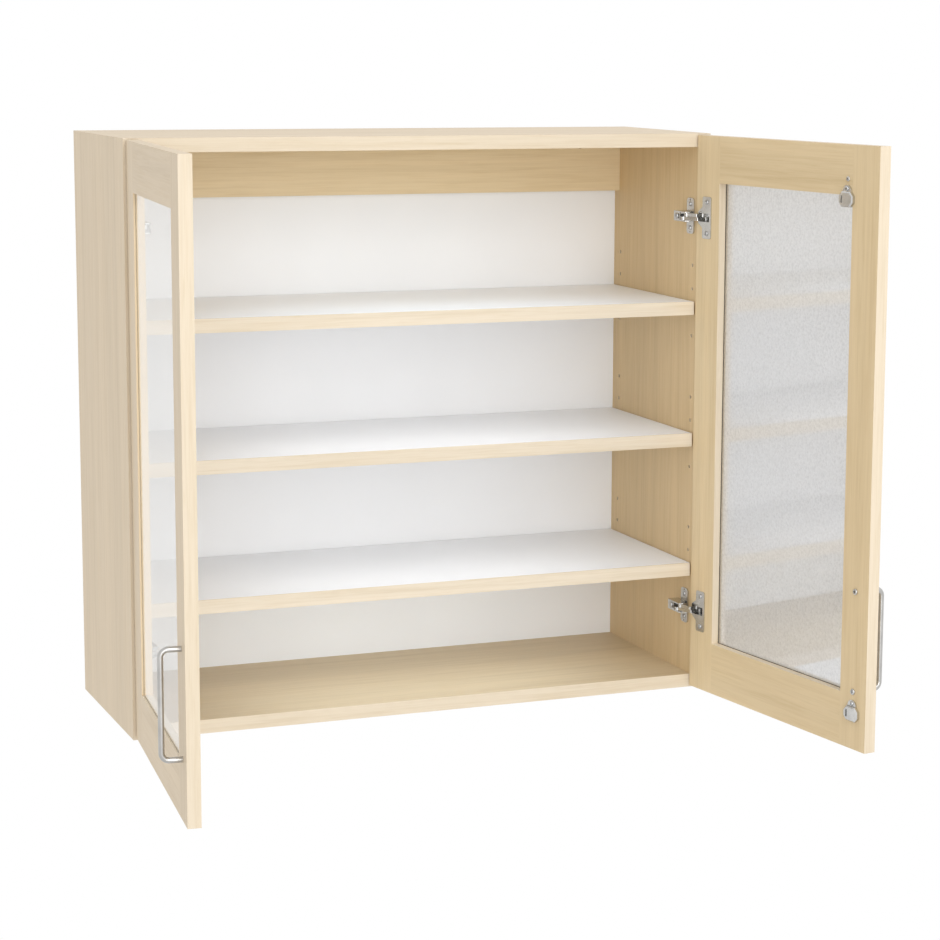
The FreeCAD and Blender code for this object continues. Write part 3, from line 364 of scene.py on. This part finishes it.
def soften(obj, width):
    """Small bevel on the sharp edges, so that they catch the light."""
    bevel = obj.modifiers.new("soft_edges", "BEVEL")
    bevel.width = width
    bevel.segments = BEVEL_SEGMENTS
    bevel.limit_method = "ANGLE"
    bevel.angle_limit = BEVEL_ANGLE
    bevel.use_clamp_overlap = True


for name, obj in nodes.items():
    obj.data.materials.clear()
    obj.data.materials.append(material_of(name))
    if name.endswith(BOARDS):
        soften(obj, BOARD_BEVEL)
    if name.endswith(PRESSINGS):
        soften(obj, METAL_BEVEL)


# Screws with a domed head and a cross recess, in the places of the plain ones
WELD = 1e-6
SCREW_SEGMENTS = 24
HEAD_PROFILE = ((1.0, 0.0), (1.0, 0.42), (0.95, 0.68), (0.84, 0.90), (0.68, 1.0))
HEAD_RIM = 0.95
CROSS_REACH = 0.54
CROSS_HALF_WIDTH = 0.12
CROSS_DEPTH = 0.75
CROSS_TAPER = 0.7
POINT_LENGTH = 2.0
POINT_RADIUS = 0.25
TURN_STEP = math.radians(37.0)
CREASE_ANGLE = math.radians(35.0)


def separate_pieces(obj):
    """Points of each connected piece of a mesh."""
    mesh = bmesh.new()
    mesh.from_mesh(obj.data)
    bmesh.ops.remove_doubles(mesh, verts=mesh.verts, dist=WELD)
    groups = []
    for first in mesh.verts:
        if first.tag:
            continue
        first.tag = True
        waiting = [first]
        points = []
        while waiting:
            vert = waiting.pop()
            points.append(vert.co.copy())
            for edge in vert.link_edges:
                other = edge.other_vert(vert)
                if not other.tag:
                    other.tag = True
                    waiting.append(other)
        groups.append(points)
    mesh.free()
    return groups


def screw_measures(points, out):
    """Foot of a screw's axis, its levels along the axis and its radii."""
    across = UP.cross(out)
    sideways = [point.dot(across) for point in points]
    heights = [point.z for point in points]
    axis = across * (min(sideways) + max(sideways)) / 2.0 + UP * (min(heights) + max(heights)) / 2.0
    levels = [point.dot(out) for point in points]
    radii = [(point - axis - out * level).length for point, level in zip(points, levels)]
    tip = min(levels)
    head_radius = max(radii)
    seat = min(level for level, radius in zip(levels, radii) if radius > HEAD_RIM * head_radius)
    shank_radius = max(radius for level, radius in zip(levels, radii) if level < tip + WELD)
    return axis, (tip, seat, max(levels)), (shank_radius, head_radius)


def add_ring(mesh, place, radius, level):
    ring = []
    for index in range(SCREW_SEGMENTS):
        angle = 2.0 * math.pi * index / SCREW_SEGMENTS
        spot = Vector((radius * math.cos(angle), radius * math.sin(angle), level))
        ring.append(mesh.verts.new(place @ spot))
    return ring


def add_band(mesh, lower, upper):
    for index in range(len(lower)):
        following = (index + 1) % len(lower)
        mesh.faces.new((lower[index], lower[following], upper[following], upper[index]))


def cross_points(reach, half):
    corner = [(half, half), (reach, half), (reach, -half)]
    points = []
    for quarter in range(4):
        turn = Matrix.Rotation(-quarter * math.pi / 2.0, 2)
        points += [turn @ Vector(point) for point in corner]
    return points


def loop_edges(mesh, loop):
    edges = []
    for index, vert in enumerate(loop):
        following = loop[(index + 1) % len(loop)]
        edges.append(mesh.edges.get((vert, following)) or mesh.edges.new((vert, following)))
    return edges


def add_screw(mesh, points, out, turn):
    axis, (tip, seat, top), (shank_radius, head_radius) = screw_measures(points, out)
    side = UP.cross(out)
    frame_of_screw = Matrix((side, out.cross(side), out)).transposed().to_4x4()
    place = Matrix.Translation(axis) @ frame_of_screw @ Matrix.Rotation(turn, 4, "Z")
    height = top - seat
    point_end = tip + POINT_LENGTH * shank_radius
    rings = [add_ring(mesh, place, POINT_RADIUS * shank_radius, tip)]
    rings.append(add_ring(mesh, place, shank_radius, min(point_end, seat)))
    rings.append(add_ring(mesh, place, shank_radius, seat))
    for share, rise in HEAD_PROFILE:
        rings.append(add_ring(mesh, place, share * head_radius, seat + rise * height))
    mesh.faces.new(list(reversed(rings[0])))
    for lower, upper in zip(rings, rings[1:]):
        add_band(mesh, lower, upper)
    outline = cross_points(CROSS_REACH * head_radius, CROSS_HALF_WIDTH * head_radius)
    rim = [mesh.verts.new(place @ Vector((*point, top))) for point in outline]
    floor_level = top - CROSS_DEPTH * height
    foot = [mesh.verts.new(place @ Vector((*(CROSS_TAPER * point), floor_level))) for point in outline]
    edges = loop_edges(mesh, rings[-1]) + loop_edges(mesh, rim)
    bmesh.ops.triangle_fill(mesh, use_beauty=True, edges=edges)
    add_band(mesh, rim, foot)
    mesh.faces.new(foot)


def cross_head_screws(node, body, out_of):
    """One piece with all the screws of a node, with the heads on the side that out_of gives."""
    mesh = bmesh.new()
    for index, points in enumerate(separate_pieces(nodes[node])):
        add_screw(mesh, points, out_of(points), index * TURN_STEP)
    bmesh.ops.recalc_face_normals(mesh, faces=mesh.faces)
    for face in mesh.faces:
        face.smooth = True
    data = bpy.data.meshes.new(f"{node}_detailed")
    mesh.to_mesh(data)
    mesh.free()
    data.set_sharp_from_angle(angle=CREASE_ANGLE)
    data.materials.append(zinc)
    piece = bpy.data.objects.new(f"{node}_detailed", data)
    scene.collection.objects.link(piece)
    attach(piece, body)
    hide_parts(node)


def into_carcass(points):
    """The heads of the carcass screws face the middle of the cabinet."""
    return Vector((-1.0 if points[0].x > 0.0 else 1.0, 0.0, 0.0))


def inner_normal(side):
    """Direction that the inner face of an open door looks in."""
    angle = math.radians(DOOR_OPEN[side])
    return Vector((INWARDS[side] * math.sin(angle), math.cos(angle), 0.0))


cross_head_screws("hinge_screws", "carcass", into_carcass)
for side in INWARDS:
    for kind in ("door_screws", "handle_screws"):
        cross_head_screws(f"{side}_{kind}", f"{side}_door", lambda points, side=side: inner_normal(side))


# Stage: pale floor below the cabinet, soft lamps and a plain pale surround
SURROUND_STRENGTH = 0.88
FLOOR_DROP = 0.9
FLOOR_SIZE = 40.0
FLOOR_GREY = (0.82, 0.82, 0.82, 1.0)
MIDDLE = (0.0, -0.25, -0.353)
LAMP_SIZE = (2.0, 2.0)
STRIP_SIZE = (0.50, 0.02)
STRIP_SETBACK = 0.014
STRIP_DROP = 0.004
COOL = (0.74, 0.87, 1.0)
COOLER = (0.70, 0.86, 1.0)


def seen_directly(tree):
    """1 for what the camera, a reflection or a view through glass sees, and 0 for light on a surface."""
    path = add(tree, "ShaderNodeLightPath")
    seen = path.outputs["Is Camera Ray"]
    for kind in ("Is Glossy Ray", "Is Transmission Ray"):
        larger = add(tree, "ShaderNodeMath", operation="MAXIMUM")
        wire(tree, seen, larger.inputs[0])
        wire(tree, path.outputs[kind], larger.inputs[1])
        seen = larger.outputs[0]
    return seen


def pale_surround(strength):
    world = bpy.data.worlds.new("pale_surround")
    scene.world = world
    world.use_nodes = True
    tree = world.node_tree
    background = tree.nodes["Background"]
    background.inputs["Color"].default_value = WHITE
    wire(tree, span(tree, seen_directly(tree), strength, 1.0), background.inputs["Strength"])


def pale_floor(level):
    bpy.ops.mesh.primitive_plane_add(size=FLOOR_SIZE, location=(0.0, 0.0, level))
    floor = bpy.context.object
    floor.name = "floor"
    material, tree, shader = new_material("pale_floor")
    shader.inputs["Base Color"].default_value = FLOOR_GREY
    shader.inputs["Roughness"].default_value = 0.9
    glow = add(tree, "ShaderNodeEmission", {"Color": WHITE, "Strength": 1.0})
    blend_surface(tree, seen_directly(tree), shader.outputs["BSDF"], glow.outputs["Emission"])
    floor.data.materials.append(material)


panes = bpy.data.collections.new("panes")
for name, obj in nodes.items():
    if name.endswith("glass"):
        panes.objects.link(obj)
for member in panes.collection_objects:
    member.light_linking.link_state = "EXCLUDE"


def lamp(name, place, target, power, shape, size):
    """Area lamp that lights surfaces and shows in no pane, which mirrors the plain surround."""
    data = bpy.data.lights.new(name, "AREA")
    data.shape = shape
    data.size = size[0]
    data.size_y = size[1]
    data.energy = power
    obj = bpy.data.objects.new(name, data)
    obj.location = place
    obj.rotation_euler = (Vector(target) - Vector(place)).to_track_quat("-Z", "Y").to_euler()
    obj.visible_camera = False
    obj.visible_transmission = False
    obj.light_linking.receiver_collection = panes
    scene.collection.objects.link(obj)
    return obj


def fill_strip(above, power, colour, lean):
    """Soft strip behind the front edge of a board, for the compartment below it, with a lean to the back."""
    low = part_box(above)[0]
    place = Vector((0.0, low.y + STRIP_SETBACK, low.z - STRIP_DROP))
    target = place + Vector((0.0, lean, -1.0))
    strip = lamp(f"fill_{above}", place, target, power, "RECTANGLE", STRIP_SIZE)
    strip.data.color = colour
    strip.visible_glossy = False


pale_surround(SURROUND_STRENGTH)
pale_floor(cad_box[0][2] - FLOOR_DROP)
lamp("front", place=(-0.5, -4.2, -0.1), target=MIDDLE, power=33.0, shape="DISK", size=LAMP_SIZE)
lamp("above", place=(0.3, -3.4, 1.6), target=MIDDLE, power=25.0, shape="DISK", size=LAMP_SIZE)
fill_strip("top_panel", power=0.33, colour=COOLER, lean=-0.15)
fill_strip("upper_shelf", power=0.175, colour=EVEN, lean=0.10)
fill_strip("middle_shelf", power=0.165, colour=EVEN, lean=0.15)
fill_strip("lower_shelf", power=0.32, colour=COOL, lean=0.5)

# Camera at the photograph's viewing angle
PHOTO_WIDTH = 940.0
FOCAL_PIXELS = 2573.51
CENTRE_PIXELS = (532.18, 446.32)
CAMERA_PLACE = (-1.13439, -3.40523, 0.14724)
YAW = math.radians(22.2545)
PITCH = math.radians(-8.9418)
ROLL = math.radians(0.3665)
SENSOR_WIDTH = 36.0
VIEW_DEPTH = 100.0
camera_data = bpy.data.cameras.new("camera")
camera = bpy.data.objects.new("camera", camera_data)
scene.collection.objects.link(camera)
scene.camera = camera
camera_data.sensor_fit = "HORIZONTAL"
camera_data.sensor_width = SENSOR_WIDTH
camera_data.lens = FOCAL_PIXELS / PHOTO_WIDTH * SENSOR_WIDTH
camera_data.shift_x = 0.5 - CENTRE_PIXELS[0] / PHOTO_WIDTH
camera_data.shift_y = CENTRE_PIXELS[1] / PHOTO_WIDTH - 0.5
camera_data.clip_end = VIEW_DEPTH
forward = Vector((math.sin(YAW) * math.cos(PITCH), math.cos(YAW) * math.cos(PITCH), math.sin(PITCH)))
level_right = Vector((math.cos(YAW), -math.sin(YAW), 0.0))
level_up = level_right.cross(forward)
right = math.cos(ROLL) * level_right + math.sin(ROLL) * level_up
up = math.cos(ROLL) * level_up - math.sin(ROLL) * level_right
camera.rotation_euler = Matrix((right, up, -forward)).transposed().to_euler()
camera.location = CAMERA_PLACE
